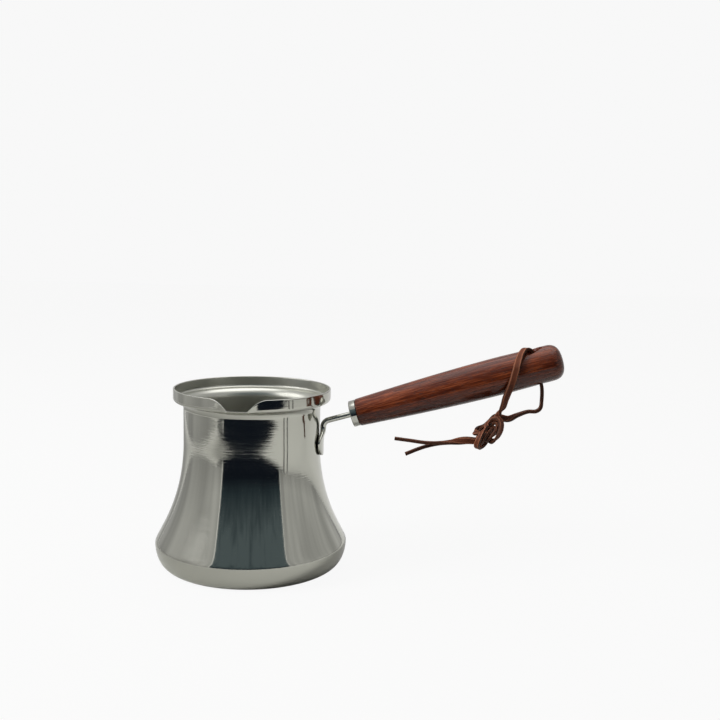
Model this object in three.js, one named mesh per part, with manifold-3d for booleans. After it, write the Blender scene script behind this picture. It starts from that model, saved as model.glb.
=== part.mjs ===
// Stovetop coffee pot: a spun steel body with a pouring lip, a bent bracket, a turned
// wooden handle with its ferrule, and a leather lace knotted through the handle.
// Millimetres, +Z up, origin at the middle of the flat base, +X along the handle and
// -Y towards the pouring lip.
import * as THREE from 'three';
import { mergeVertices } from 'three/addons/utils/BufferGeometryUtils.js';
import Module from 'manifold-3d';

const wasm = await Module();
wasm.setup();

// Driving dimensions: pot body
const SHEET = 0.9;
const BASE_FLAT_RADIUS = 45.3;
const BELLY_RADIUS = 53;
const BELLY_HEIGHT = 12.9;
const FLANK_LOW_PULL = 3.2;
const FLANK_HIGH_PULL = 34.5;
const NECK_RADIUS = 37.5;
const NECK_START_HEIGHT = 69;
const RIM_HEIGHT = 98.6;
const COLLAR_RADIUS = 43.1;
const COLLAR_BAND = 5;
const COLLAR_ROUND = 2.2;
const COLLAR_FILLET_HEIGHT = 4.1;
const POT_SEGMENTS = 64;

// Driving dimensions: pouring lip
const LIP_FLAT_WIDTH = 10.6;
const LIP_FULL_WIDTH = 31.6;
const LIP_DEPTH = 6;
const LIP_OUTWARD = 1.2;

// Driving dimensions: bracket
const ROD_DIAMETER = 3.2;
const ROD_BEND_RADIUS = 4;
const ROD_STANDOFF = 0.4;
const LEAF_WIDTH = 15.2;
const LEAF_THICKNESS = 1.9;
const LEAF_BOTTOM_HEIGHT = 62;
const WELD_MARK_RADIUS = 1.4;
const WELD_MARK_DEPTH = 0.3;
const TANG_LENGTH = 48;

// Driving dimensions: handle, measured along its own axis from the ferrule's shoulder
const HANDLE_TILT = THREE.MathUtils.degToRad(16.5);
const HANDLE_START_X = 58.6;
const HANDLE_START_Z = 86.5;
const HANDLE_LENGTH = 114;
const HANDLE_NECK_RADIUS = 7.5;
const HANDLE_RISE_RADIUS = 8.6;
const HANDLE_RISE_AT = 23;
const HANDLE_GRIP_RADIUS = 10.2;
const HANDLE_GRIP_AT = 82;
const HANDLE_GRIP_PULL = 31;
const HANDLE_END_RADIUS = 9.75;
const HANDLE_END_DEPTH = 8;
const HANDLE_END_FULLNESS = 2.8;
const FERRULE_RADIUS = 7.25;
const FERRULE_LENGTH = 3.8;
const FERRULE_WALL = 0.9;
const LACE_HOLE_FROM_END = 14.1;
const LACE_HOLE_RADIUS = 2.6;
const LACE_HOLE_FLARE = 2.4;
const LACE_HOLE_FLARE_DEPTH = 4.4;

// Driving dimensions: lace and knot
const LACE_WIDTH = 3.8;
const LACE_THICKNESS = 1.75;
const LACE_BEVEL = 0.55;
const KNOT_SQUEEZE = 0.84;
const KNOT_RADIUS = 10.8;
const KNOT_RING_RADIUS = 6.2;
const KNOT_PLY_PITCH = 2.56;
const KNOT_CENTRE = new THREE.Vector3(129.3, -9.6, 79.4);
const KNOT_SLOPE = THREE.MathUtils.degToRad(44);

// Clearance between pieces that touch, and how far a cutter reaches past what it cuts
const SEAT = 0.3;
const OVERCUT = 1;

const STEEL = { color: 0xb9bab5, roughness: 0.12, metalness: 1 };
const WOOD = { color: 0x6a2c20, roughness: 0.45, metalness: 0 };
const LEATHER = { color: 0x4a2f25, roughness: 0.7, metalness: 0 };

function piece(name, geometry, look) {
  const mesh = new THREE.Mesh(geometry, new THREE.MeshStandardMaterial(look));
  mesh.name = name;
  return mesh;
}

// A profile of [radius, height] points turned about the Z axis.
function turn(points, segments) {
  const profile = points.map(([radius, height]) => new THREE.Vector2(radius, height));
  return new THREE.LatheGeometry(profile, segments).rotateX(Math.PI / 2);
}

// The same profile turned about the X axis, with its height along +X.
function turnAlongX(points, segments) {
  return turn(points, segments).rotateY(Math.PI / 2);
}

// Closed solid for joining and cutting.
function solid(geometry) {
  const bare = geometry.clone();
  bare.deleteAttribute('normal');
  bare.deleteAttribute('uv');
  const merged = mergeVertices(bare, 1e-4);
  return new wasm.Manifold(new wasm.Mesh({
    numProp: 3,
    vertProperties: new Float32Array(merged.attributes.position.array),
    triVerts: new Uint32Array(merged.index.array),
  }));
}

function surface(body) {
  const mesh = body.getMesh();
  const geometry = new THREE.BufferGeometry();
  geometry.setAttribute('position', new THREE.BufferAttribute(new Float32Array(mesh.vertProperties), 3));
  geometry.setIndex(new THREE.BufferAttribute(new Uint32Array(mesh.triVerts), 1));
  geometry.computeVertexNormals();
  return geometry;
}

// A skin over rings of points, closed by a flat cap at each end.
function loft(rings) {
  const count = rings[0].length;
  const positions = rings.flat();
  const indices = [];
  for (let i = 0; i + 1 < rings.length; i++) {
    for (let j = 0; j < count; j++) {
      const a = i * count + j;
      const b = i * count + (j + 1) % count;
      indices.push(a, b, b + count, a, b + count, a + count);
    }
  }
  for (let j = 1; j + 1 < count; j++) {
    const last = (rings.length - 1) * count;
    indices.push(0, j + 1, j, last, last + j, last + j + 1);
  }
  const geometry = new THREE.BufferGeometry().setFromPoints(positions);
  geometry.setIndex(indices);
  geometry.computeVertexNormals();
  return geometry;
}

// Points of an elliptical arc from one angle to another, both ends included.
function arc(centreX, centreY, radiusX, radiusY, from, to, steps) {
  return Array.from({ length: steps + 1 }, (_, i) => {
    const angle = from + (to - from) * i / steps;
    return [centreX + radiusX * Math.cos(angle), centreY + radiusY * Math.sin(angle)];
  });
}

const QUARTER = Math.PI / 2;

// Pot body: outer profile from the middle of the base up to the rim
const cornerWidth = BELLY_RADIUS - BASE_FLAT_RADIUS;
const filletWidth = COLLAR_RADIUS - NECK_RADIUS - COLLAR_ROUND;
const bandBottom = RIM_HEIGHT - COLLAR_BAND;
const foldHeight = bandBottom - COLLAR_ROUND;
const neckTop = foldHeight - COLLAR_FILLET_HEIGHT;

function potOuterProfile() {
  const flank = new THREE.CubicBezierCurve(
    new THREE.Vector2(BELLY_RADIUS, BELLY_HEIGHT),
    new THREE.Vector2(BELLY_RADIUS, BELLY_HEIGHT + FLANK_LOW_PULL),
    new THREE.Vector2(NECK_RADIUS, NECK_START_HEIGHT - FLANK_HIGH_PULL),
    new THREE.Vector2(NECK_RADIUS, NECK_START_HEIGHT),
  );
  const flankPoints = flank.getPoints(10).slice(1).map((point) => [point.x, point.y]);
  return [
    ...arc(BASE_FLAT_RADIUS, BELLY_HEIGHT, cornerWidth, BELLY_HEIGHT, -QUARTER, 0, 6),
    ...flankPoints,
    ...arc(NECK_RADIUS + filletWidth, neckTop, filletWidth, COLLAR_FILLET_HEIGHT, 2 * QUARTER, QUARTER, 4),
    ...arc(COLLAR_RADIUS - COLLAR_ROUND, bandBottom, COLLAR_ROUND, COLLAR_ROUND, -QUARTER, 0, 4).slice(1),
    [COLLAR_RADIUS, bandBottom + COLLAR_BAND / 2],
    [COLLAR_RADIUS, RIM_HEIGHT],
  ];
}

// The same profile moved inwards by the sheet's thickness.
function inset(points, thickness) {
  return points.map((point, i) => {
    const before = points[Math.max(i - 1, 0)];
    const after = points[Math.min(i + 1, points.length - 1)];
    const length = Math.hypot(after[0] - before[0], after[1] - before[1]);
    const radial = (after[1] - before[1]) / length;
    const axial = (after[0] - before[0]) / length;
    return [point[0] - thickness * radial, point[1] + thickness * axial];
  });
}

// How far the rim is pressed down at an angle from the lip's middle, from 0 to 1: flat in the
// middle, with two slopes that run out smoothly into the rim.
function lipPress(angle) {
  const beside = Math.abs(angle) * COLLAR_RADIUS - LIP_FLAT_WIDTH / 2;
  const slopeWidth = (LIP_FULL_WIDTH - LIP_FLAT_WIDTH) / 2;
  return (1 - THREE.MathUtils.clamp(beside / slopeWidth, 0, 1)) ** 2;
}

// Turns facets closer together near the lip, then presses the rim down and outwards there.
function pressLip(geometry) {
  const crowding = 0.5;
  const position = geometry.attributes.position;
  for (let i = 0; i < position.count; i++) {
    const height = position.getZ(i);
    const turned = Math.atan2(position.getX(i), -position.getY(i));
    const angle = turned - crowding * Math.sin(turned);
    const lifted = THREE.MathUtils.clamp((height - foldHeight) / (RIM_HEIGHT - foldHeight), 0, 1);
    const press = lifted * lipPress(angle);
    const radius = Math.hypot(position.getX(i), position.getY(i)) + LIP_OUTWARD * press;
    position.setXYZ(i, radius * Math.sin(angle), -radius * Math.cos(angle), height - LIP_DEPTH * press);
  }
  return geometry;
}

function potBody() {
  const outer = potOuterProfile();
  const inner = inset(outer, SHEET);
  inner[0] = [BASE_FLAT_RADIUS, SHEET];
  inner[inner.length - 1] = [COLLAR_RADIUS - SHEET, RIM_HEIGHT];
  const profile = [[0, 0], ...outer, ...inner.reverse(), [0, SHEET]];
  return piece('pot_body', pressLip(turn(profile, POT_SEGMENTS)), STEEL);
}

// Bracket: a centreline in the XZ plane, up the neck, round the bend and along the handle's axis
const handleDirection = new THREE.Vector2(Math.cos(HANDLE_TILT), Math.sin(HANDLE_TILT));
const handleStart = new THREE.Vector2(HANDLE_START_X, HANDLE_START_Z);
const leafX = NECK_RADIUS + SEAT + LEAF_THICKNESS / 2;
const bendX = NECK_RADIUS + ROD_STANDOFF + ROD_DIAMETER / 2;
const bendTurn = QUARTER - HANDLE_TILT;
const cornerZ = HANDLE_START_Z + (bendX - HANDLE_START_X) * Math.tan(HANDLE_TILT);
const bendStartZ = cornerZ - ROD_BEND_RADIUS * Math.tan(bendTurn / 2);

function bracketLine() {
  const leafMiddle = LEAF_BOTTOM_HEIGHT + LEAF_WIDTH / 2;
  const between = (leafMiddle + bendStartZ) / 2;
  const tangEnd = handleStart.clone().addScaledVector(handleDirection, TANG_LENGTH);
  return new THREE.Path()
    .moveTo(leafX, LEAF_BOTTOM_HEIGHT)
    .lineTo(leafX, leafMiddle)
    .bezierCurveTo(leafX, between, bendX, between, bendX, bendStartZ)
    .absarc(bendX + ROD_BEND_RADIUS, bendStartZ, ROD_BEND_RADIUS, Math.PI, Math.PI - bendTurn, true)
    .lineTo(tangEnd.x, tangEnd.y);
}

// Width of the leaf, which has a round end and narrows upwards into the rod.
function bracketWidth(along) {
  const round = LEAF_WIDTH / 2;
  const strap = bendStartZ - LEAF_BOTTOM_HEIGHT;
  if (along < round) return 2 * Math.sqrt(round ** 2 - (round - along) ** 2);
  const narrowing = THREE.MathUtils.smoothstep(along, round, strap);
  return THREE.MathUtils.lerp(LEAF_WIDTH, ROD_DIAMETER, narrowing);
}

function bracketRing(line, along, length) {
  const sides = 16;
  const centre = line.getPointAt(along / length);
  const tangent = line.getTangentAt(along / length);
  const strap = bendStartZ - LEAF_BOTTOM_HEIGHT;
  const roundness = THREE.MathUtils.smoothstep(along, LEAF_WIDTH / 2, strap);
  const halfWidth = bracketWidth(along) / 2;
  const halfThickness = THREE.MathUtils.lerp(LEAF_THICKNESS, ROD_DIAMETER, roundness) / 2;
  const squareness = THREE.MathUtils.lerp(0.5, 1, roundness);
  return Array.from({ length: sides }, (_, i) => {
    const angle = 2 * Math.PI * (i + 0.5) / sides;
    const across = -halfWidth * Math.sign(Math.cos(angle)) * Math.abs(Math.cos(angle)) ** squareness;
    const outwards = halfThickness * Math.sign(Math.sin(angle)) * Math.abs(Math.sin(angle)) ** squareness;
    const curl = (1 - roundness) * (centre.x - Math.sqrt(centre.x ** 2 - across ** 2));
    return new THREE.Vector3(
      centre.x + outwards * tangent.y - curl,
      across,
      centre.y - outwards * tangent.x,
    );
  });
}

function handleBracket() {
  const line = bracketLine();
  const length = line.getLength();
  const round = LEAF_WIDTH / 2;
  const bendEnd = bendStartZ - LEAF_BOTTOM_HEIGHT + ROD_BEND_RADIUS * bendTurn;
  const leafSteps = 6;
  const bendSteps = 14;
  const leafStops = Array.from({ length: leafSteps }, (_, i) =>
    round * (1 - Math.cos(QUARTER * (i + 0.6) / leafSteps)));
  const bendStops = Array.from({ length: bendSteps + 1 }, (_, i) =>
    round + (bendEnd - round) * i / bendSteps);
  const rings = [...leafStops, ...bendStops, length].map((along) => bracketRing(line, along, length));
  const mark = new THREE.SphereGeometry(
    (WELD_MARK_RADIUS ** 2 + WELD_MARK_DEPTH ** 2) / (2 * WELD_MARK_DEPTH), 48, 32);
  const markDistance = mark.parameters.radius - WELD_MARK_DEPTH;
  mark.translate(leafX + LEAF_THICKNESS / 2 + markDistance, 0, LEAF_BOTTOM_HEIGHT + round);
  return piece('handle_bracket', surface(solid(loft(rings)).subtract(solid(mark))), STEEL);
}

// Ferrule: a cup over the wood's tenon, with a rounded front edge and a hole for the rod
function ferrule() {
  const edge = FERRULE_WALL / 2;
  const rodHole = ROD_DIAMETER / 2 + SEAT;
  const profile = [
    [rodHole, -FERRULE_LENGTH],
    ...arc(FERRULE_RADIUS - edge, edge - FERRULE_LENGTH, edge, edge, -QUARTER, 0, 4),
    [FERRULE_RADIUS, -SEAT],
    [FERRULE_RADIUS - FERRULE_WALL, -SEAT],
    [FERRULE_RADIUS - FERRULE_WALL, FERRULE_WALL - FERRULE_LENGTH],
    [rodHole, FERRULE_WALL - FERRULE_LENGTH],
    [rodHole, -FERRULE_LENGTH],
  ];
  return piece('ferrule', turnAlongX(profile, 32), STEEL);
}

// Handle: turned outline with a tenon, a blind bore for the tang and a flared cross hole
function handleOutline() {
  const swell = new THREE.CubicBezierCurve(
    new THREE.Vector2(HANDLE_NECK_RADIUS, 0),
    new THREE.Vector2(HANDLE_RISE_RADIUS, HANDLE_RISE_AT),
    new THREE.Vector2(HANDLE_GRIP_RADIUS, HANDLE_GRIP_AT - HANDLE_GRIP_PULL),
    new THREE.Vector2(HANDLE_GRIP_RADIUS, HANDLE_GRIP_AT),
  );
  const endSteps = 9;
  const endStart = HANDLE_LENGTH - HANDLE_END_DEPTH;
  const end = Array.from({ length: endSteps + 1 }, (_, i) => {
    const angle = QUARTER * i / endSteps;
    const radius = HANDLE_END_RADIUS * Math.cos(angle) ** (2 / HANDLE_END_FULLNESS);
    return [radius, endStart + HANDLE_END_DEPTH * Math.sin(angle) ** (2 / HANDLE_END_FULLNESS)];
  });
  return [...swell.getPoints(10).map((point) => [point.x, point.y]), ...end];
}

// The cross hole, cut right through, with its two mouths rounded over.
function laceHole() {
  const reach = HANDLE_GRIP_RADIUS + OVERCUT;
  const mouth = LACE_HOLE_RADIUS + LACE_HOLE_FLARE;
  const flareStart = HANDLE_GRIP_RADIUS - LACE_HOLE_FLARE_DEPTH;
  const flare = arc(mouth, flareStart, LACE_HOLE_FLARE, LACE_HOLE_FLARE_DEPTH, 2 * QUARTER, QUARTER, 6);
  const upper = [...flare, [mouth, reach], [0, reach]];
  const lower = upper.map(([radius, height]) => [radius, -height]).reverse();
  return turn([...lower, ...upper], 24).translate(HANDLE_LENGTH - LACE_HOLE_FROM_END, 0, 0);
}

function woodHandle() {
  const tenonRadius = FERRULE_RADIUS - FERRULE_WALL - SEAT;
  const tenonStart = FERRULE_WALL + SEAT - FERRULE_LENGTH;
  const boreRadius = ROD_DIAMETER / 2 + SEAT;
  const boreEnd = TANG_LENGTH + SEAT;
  const turned = turnAlongX([
    [0, boreEnd],
    [boreRadius, boreEnd],
    [boreRadius, tenonStart],
    [tenonRadius, tenonStart],
    [tenonRadius, 0],
    ...handleOutline(),
  ], 32);
  return piece('wood_handle', surface(solid(turned).subtract(solid(laceHole()))), WOOD);
}

// Lace: a flat strap along a route of [point, face] pairs, where face is the way its flat side
// looks. It is drawn smaller where it is pulled tight in the knot.
function strap(route) {
  const stepsPerSpan = 2;
  const line = new THREE.CatmullRomCurve3(route.map(([point]) => point), false, 'centripetal');
  const faces = new THREE.CatmullRomCurve3(route.map(([, face]) => face), false, 'centripetal');
  const steps = (route.length - 1) * stepsPerSpan;
  const halfWidth = LACE_WIDTH / 2;
  const halfThickness = LACE_THICKNESS / 2;
  const corners = [
    [halfWidth, halfThickness - LACE_BEVEL], [halfWidth - LACE_BEVEL, halfThickness],
    [LACE_BEVEL - halfWidth, halfThickness], [-halfWidth, halfThickness - LACE_BEVEL],
    [-halfWidth, LACE_BEVEL - halfThickness], [LACE_BEVEL - halfWidth, -halfThickness],
    [halfWidth - LACE_BEVEL, -halfThickness], [halfWidth, LACE_BEVEL - halfThickness],
  ];
  const rings = Array.from({ length: steps + 1 }, (_, i) => {
    const centre = line.getPoint(i / steps);
    const along = line.getTangent(i / steps);
    const side = new THREE.Vector3().crossVectors(along, faces.getPoint(i / steps)).normalize();
    const face = new THREE.Vector3().crossVectors(side, along);
    const fromKnot = centre.distanceTo(KNOT_CENTRE);
    const loose = THREE.MathUtils.smoothstep(fromKnot, KNOT_RADIUS, 1.5 * KNOT_RADIUS);
    const drawn = THREE.MathUtils.lerp(KNOT_SQUEEZE, 1, loose);
    return corners.map(([across, out]) => centre.clone()
      .addScaledVector(side, -across * drawn).addScaledVector(face, out * drawn));
  });
  return loft(rings);
}

// The knot is an overhand knot: the doubled lace winds three times about a ring that it
// follows twice. The outer and the inner ply lie flat on each other all the way.
const knotAlong = new THREE.Vector3(-Math.cos(KNOT_SLOPE), 0, -Math.sin(KNOT_SLOPE));
const knotBack = new THREE.Vector3(0, 1, 0);
const knotUp = new THREE.Vector3().crossVectors(knotBack, knotAlong);

function knotVector(back, along, up) {
  return new THREE.Vector3().addScaledVector(knotBack, back)
    .addScaledVector(knotAlong, along).addScaledVector(knotUp, up);
}

function inKnot(back, along, up) {
  return knotVector(back, along, up).add(KNOT_CENTRE);
}

function knotRoute(windingRadius) {
  const stops = 30;
  const tuckTurn = 0.7;
  const passing = LACE_WIDTH * 0.55;
  const back = KNOT_RING_RADIUS + windingRadius;
  const outwards = knotVector(1, 0, 0);
  const leadIn = [-8, -4].map((along) => [inKnot(back, along, passing), outwards]);
  const leadOut = [3.5, 6.5].map((along) => [inKnot(back, along, -passing), outwards]);
  const winding = Array.from({ length: stops + 1 }, (_, i) => {
    const t = 2 * Math.PI * i / stops;
    const reach = KNOT_RING_RADIUS + windingRadius * Math.cos(3 * t);
    const entering = 1 - THREE.MathUtils.smoothstep(t, 0, tuckTurn);
    const leaving = 1 - THREE.MathUtils.smoothstep(2 * Math.PI - t, 0, tuckTurn);
    const up = windingRadius * Math.sin(3 * t) + passing * (entering - leaving);
    return [
      inKnot(reach * Math.cos(2 * t), reach * Math.sin(2 * t), up),
      knotVector(Math.cos(3 * t) * Math.cos(2 * t), Math.cos(3 * t) * Math.sin(2 * t), Math.sin(3 * t)),
    ];
  });
  return [...leadIn, ...winding, ...leadOut];
}

// Points of the lace's free stretches near the cross hole: along the handle from the hole's
// axis, across it, and up along the hole, in the handle's own directions
const holeAlong = HANDLE_LENGTH - LACE_HOLE_FROM_END;
const holeCentre = new THREE.Vector3(
  HANDLE_START_X + holeAlong * handleDirection.x, 0, HANDLE_START_Z + holeAlong * handleDirection.y);

function handleVector(along, across, up) {
  return new THREE.Vector3(along, across, up).applyAxisAngle(new THREE.Vector3(0, 1, 0), -HANDLE_TILT);
}

function byHole([along, across, up], face) {
  return [handleVector(along, across, up).add(holeCentre), handleVector(...face)];
}

function free(point, face) {
  return [new THREE.Vector3(...point), new THREE.Vector3(...face)];
}

// A point that lies on the wood, with the lace's flat side turned away from the handle's axis.
function onWood([along, across, up]) {
  return byHole([along, across, up], [0, across, up]);
}

function upperRoute() {
  return [
    byHole([0, 0, SEAT / 2], [1, 0, 0]),
    byHole([-0.3, -0.1, 4.2], [1, 0.1, 0]),
    byHole([-0.8, -0.4, 7.2], [1, 0.4, 0.25]),
    byHole([-1.7, -1.1, 9.7], [0.7, 0.45, 0.5]),
    byHole([-4, -3.4, 10.95], [-0.15, -0.3, 0.95]),
    byHole([-6.5, -6.5, 9.7], [-0.3, -0.55, 0.8]),
    byHole([-8.8, -9, 7.2], [-0.2, -0.8, 0.6]),
    byHole([-11, -10.8, 3.9], [-0.1, -0.95, 0.3]),
    onWood([-13.3, -11.4, 0]),
    onWood([-15.6, -11.2, -3.8]),
    onWood([-18.2, -10, -7.6]),
    byHole([-20.8, -8.4, -11.6], [0.4, -1, -0.4]),
    byHole([-23.2, -6.4, -16], [0.8, -1, 0]),
    ...knotRoute(KNOT_PLY_PITCH / 2),
    free([117.4, -2.8, 73.3], [0, 1, -0.3]),
    free([109.7, -4.2, 72.6], [0, 0.2, -1]),
    free([103.8, -4.4, 72.1], [0, -0.1, -1]),
    free([96.2, -4.6, 71.9], [0, -0.1, -1]),
    free([87.5, -4.6, 72.8], [0, -0.1, -1]),
    free([79.1, -4.8, 73.7], [0, -0.1, -1]),
  ];
}

function lowerRoute() {
  return [
    byHole([0, 0, -SEAT / 2], [1, 0, 0]),
    byHole([0, 0, -6], [1, 0, 0]),
    byHole([-0.2, 0, -12], [1, 0, 0]),
    free([157.8, 0, 96.4], [1, 0, 0]),
    free([157.3, 0, 92.2], [1, 0, -0.4]),
    free([155.2, 0, 90.4], [0.5, 0, -1]),
    free([150.6, 0, 90], [0, 0, -1]),
    free([145, 0.2, 87.8], [0.3, 0.2, -1]),
    free([140.2, 0.2, 85.6], [0.4, 0.9, -1]),
    ...knotRoute(KNOT_PLY_PITCH * 1.5),
    free([117.4, 0.2, 73.1], [0, 1, -0.3]),
    free([109.9, 0.2, 71.7], [0, 0.2, -1]),
    free([103.9, 0, 70.7], [0, -0.1, -1]),
    free([96.3, -0.2, 68.9], [0, -0.1, -1]),
    free([92, -0.6, 67.4], [0, -0.1, -1]),
    free([85.1, -1.5, 64.5], [0, -0.1, -1]),
  ];
}

const handle = new THREE.Group();
handle.position.set(HANDLE_START_X, 0, HANDLE_START_Z);
handle.rotation.y = -HANDLE_TILT;
handle.add(ferrule(), woodHandle());

const coffeePot = new THREE.Group();
coffeePot.add(
  potBody(),
  handleBracket(),
  handle,
  piece('lace_upper', strap(upperRoute()), LEATHER),
  piece('lace_lower', strap(lowerRoute()), LEATHER),
);

export default coffeePot;
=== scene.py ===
"""Looks of a stovetop coffee pot: polished steel body, bent bracket, turned handle, leather lace."""
from math import copysign, cos, floor, hypot, pi, radians, sin, sqrt, tan

import bpy
from mathutils import Matrix, Vector


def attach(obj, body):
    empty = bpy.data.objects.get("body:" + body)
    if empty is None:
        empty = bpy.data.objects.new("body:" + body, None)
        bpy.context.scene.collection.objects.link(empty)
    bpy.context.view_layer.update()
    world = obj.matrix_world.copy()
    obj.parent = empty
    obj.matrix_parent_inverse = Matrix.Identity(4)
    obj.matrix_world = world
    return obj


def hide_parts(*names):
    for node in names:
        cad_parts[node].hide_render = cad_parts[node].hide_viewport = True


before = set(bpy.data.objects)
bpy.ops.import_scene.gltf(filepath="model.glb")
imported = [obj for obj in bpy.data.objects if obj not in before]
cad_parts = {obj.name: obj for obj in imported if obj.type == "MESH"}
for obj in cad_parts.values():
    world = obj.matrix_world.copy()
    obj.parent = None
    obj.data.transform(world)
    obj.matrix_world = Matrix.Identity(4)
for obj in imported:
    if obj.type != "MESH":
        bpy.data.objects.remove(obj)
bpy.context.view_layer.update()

# Pot body
# One disc of thin stainless sheet, spun to a bell with a stepped collar and polished on
# the lathe. The pouring lip was pressed into the finished rim with a hand tool.
SHEET = 0.9
BASE_FLAT_RADIUS = 45.3
BELLY_RADIUS = 53
BELLY_HEIGHT = 12.9
FLANK_LOW_PULL = 3.2
FLANK_HIGH_PULL = 34.5
NECK_RADIUS = 37.5
NECK_START_HEIGHT = 69
RIM_HEIGHT = 98.6
COLLAR_RADIUS = 43.1
COLLAR_BAND = 5
COLLAR_ROUND = 2.2
COLLAR_FILLET_HEIGHT = 4.1
RIM_EDGE_ROUND = 0.3
LIP_FLAT_WIDTH = 10.6
LIP_FULL_WIDTH = 31.6
LIP_DEPTH = 6
LIP_OUTWARD = 1.2
LIP_CROWDING = 0.5
BASE_MIDDLE = 0.5
POT_SIDES = 288
BASE_STEPS = 12
CORNER_STEPS = 28
FLANK_STEPS = 56
NECK_STEPS = 8
FILLET_STEPS = 16
FOLD_STEPS = 12
BAND_STEPS = 8
RIM_EDGE_STEPS = 4

METRE = 0.001
PER_METRE = 1000
QUARTER = pi / 2

fillet_width = COLLAR_RADIUS - NECK_RADIUS - COLLAR_ROUND
band_bottom = RIM_HEIGHT - COLLAR_BAND
fold_height = band_bottom - COLLAR_ROUND
neck_top = fold_height - COLLAR_FILLET_HEIGHT


def lerp(low, high, share):
    return low + (high - low) * share


def clamp(value):
    return min(max(value, 0), 1)


def smoothstep(value, low, high):
    share = clamp((value - low) / (high - low))
    return share * share * (3 - 2 * share)


def arc(centre_x, centre_y, radius_x, radius_y, start, end, steps):
    angles = [lerp(start, end, i / steps) for i in range(steps + 1)]
    return [(centre_x + radius_x * cos(a), centre_y + radius_y * sin(a)) for a in angles]


def bezier(a, b, c, d, steps):
    points = []
    for i in range(steps + 1):
        t = i / steps
        weights = ((1 - t) ** 3, 3 * t * (1 - t) ** 2, 3 * t * t * (1 - t), t ** 3)
        points.append(tuple(sum(w * p[k] for w, p in zip(weights, (a, b, c, d))) for k in (0, 1)))
    return points


def skin(name, rings, hollow=False):
    """A closed mesh over rings of points in millimetres, with flat caps or, if hollow, joined ends."""
    count = len(rings[0])
    vertices = [Vector(point) * METRE for ring in rings for point in ring]
    faces = []
    for i in range(len(rings) if hollow else len(rings) - 1):
        low, high = i * count, (i + 1) % len(rings) * count
        for j in range(count):
            after = (j + 1) % count
            faces.append((low + j, low + after, high + after, high + j))
    if not hollow:
        last = len(vertices) - count
        faces.append(tuple(reversed(range(count))))
        faces.append(tuple(range(last, last + count)))
    mesh = bpy.data.meshes.new(name)
    mesh.from_pydata(vertices, [], faces)
    mesh.shade_smooth()
    piece = bpy.data.objects.new(name, mesh)
    bpy.context.collection.objects.link(piece)
    return piece


def inset(points, thickness):
    """The points of an outline moved inwards by the sheet's thickness."""
    moved = []
    for i, (radius, height) in enumerate(points):
        before, after = points[max(i - 1, 0)], points[min(i + 1, len(points) - 1)]
        length = hypot(after[0] - before[0], after[1] - before[1])
        moved.append((radius - thickness * (after[1] - before[1]) / length,
                      height + thickness * (after[0] - before[0]) / length))
    return moved


def pot_profile():
    """(radius, height) points of the sheet's outside from the base up, then of its rim and inside."""
    corner_width = BELLY_RADIUS - BASE_FLAT_RADIUS
    corner = arc(BASE_FLAT_RADIUS, BELLY_HEIGHT, corner_width, BELLY_HEIGHT, -QUARTER, 0, CORNER_STEPS)
    flank = bezier((BELLY_RADIUS, BELLY_HEIGHT), (BELLY_RADIUS, BELLY_HEIGHT + FLANK_LOW_PULL),
                   (NECK_RADIUS, NECK_START_HEIGHT - FLANK_HIGH_PULL),
                   (NECK_RADIUS, NECK_START_HEIGHT), FLANK_STEPS)
    neck = [(NECK_RADIUS, lerp(NECK_START_HEIGHT, neck_top, i / NECK_STEPS))
            for i in range(1, NECK_STEPS)]
    fillet = arc(NECK_RADIUS + fillet_width, neck_top, fillet_width, COLLAR_FILLET_HEIGHT,
                 pi, QUARTER, FILLET_STEPS)
    fold = arc(COLLAR_RADIUS - COLLAR_ROUND, band_bottom, COLLAR_ROUND, COLLAR_ROUND,
               -QUARTER, 0, FOLD_STEPS)
    edge_height = RIM_HEIGHT - RIM_EDGE_ROUND
    band = [(COLLAR_RADIUS, lerp(band_bottom, edge_height, i / BAND_STEPS))
            for i in range(1, BAND_STEPS + 1)]
    outer = corner + flank[1:] + neck + fillet + fold[1:] + band
    inner = inset(outer, SHEET)
    inner[0] = (BASE_FLAT_RADIUS, SHEET)
    edge_out = arc(COLLAR_RADIUS - RIM_EDGE_ROUND, edge_height, RIM_EDGE_ROUND, RIM_EDGE_ROUND,
                   0, QUARTER, RIM_EDGE_STEPS)
    edge_in = [(2 * COLLAR_RADIUS - SHEET - radius, height) for radius, height in reversed(edge_out)]
    base = [(lerp(BASE_MIDDLE, BASE_FLAT_RADIUS, i / BASE_STEPS), 0) for i in range(BASE_STEPS)]
    floor_inside = [(radius, SHEET) for radius, _ in reversed(base)]
    return base + outer, edge_out[1:] + edge_in + inner[-2::-1] + floor_inside


def lip_press(angle):
    """How far the rim is pressed down at an angle from the lip's middle, from 0 to 1."""
    beside = abs(angle) * COLLAR_RADIUS - LIP_FLAT_WIDTH / 2
    return (1 - clamp(2 * beside / (LIP_FULL_WIDTH - LIP_FLAT_WIDTH))) ** 2


def pot_point(radius, height, angle):
    """A point of the sheet at an angle from the lip's middle, pressed down and out where the lip is."""
    press = lip_press(angle) * clamp((height - fold_height) / (RIM_HEIGHT - fold_height))
    radius += LIP_OUTWARD * press
    return radius * sin(angle), -radius * cos(angle), height - LIP_DEPTH * press


outside, inside = pot_profile()
pot_turns = [2 * pi * j / POT_SIDES - pi for j in range(POT_SIDES)]
pot_angles = [turn - LIP_CROWDING * sin(turn) for turn in pot_turns]
pot = skin("polished_body", [[pot_point(r, z, a) for a in pot_angles] for r, z in outside + inside])
first_brushed = len(outside) * POT_SIDES
for face in pot.data.polygons:
    face.material_index = 1 if face.index >= first_brushed else 0
base_middle = pot.data.polygons[-2]
base_middle.material_index = 0


def linear(hex_colour):
    """An sRGB hex colour as the linear values that shaders take."""
    channels = [int(hex_colour[i:i + 2], 16) / 255 for i in (1, 3, 5)]
    return [c / 12.92 if c <= 0.04045 else ((c + 0.055) / 1.055) ** 2.4 for c in channels] + [1]


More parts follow.
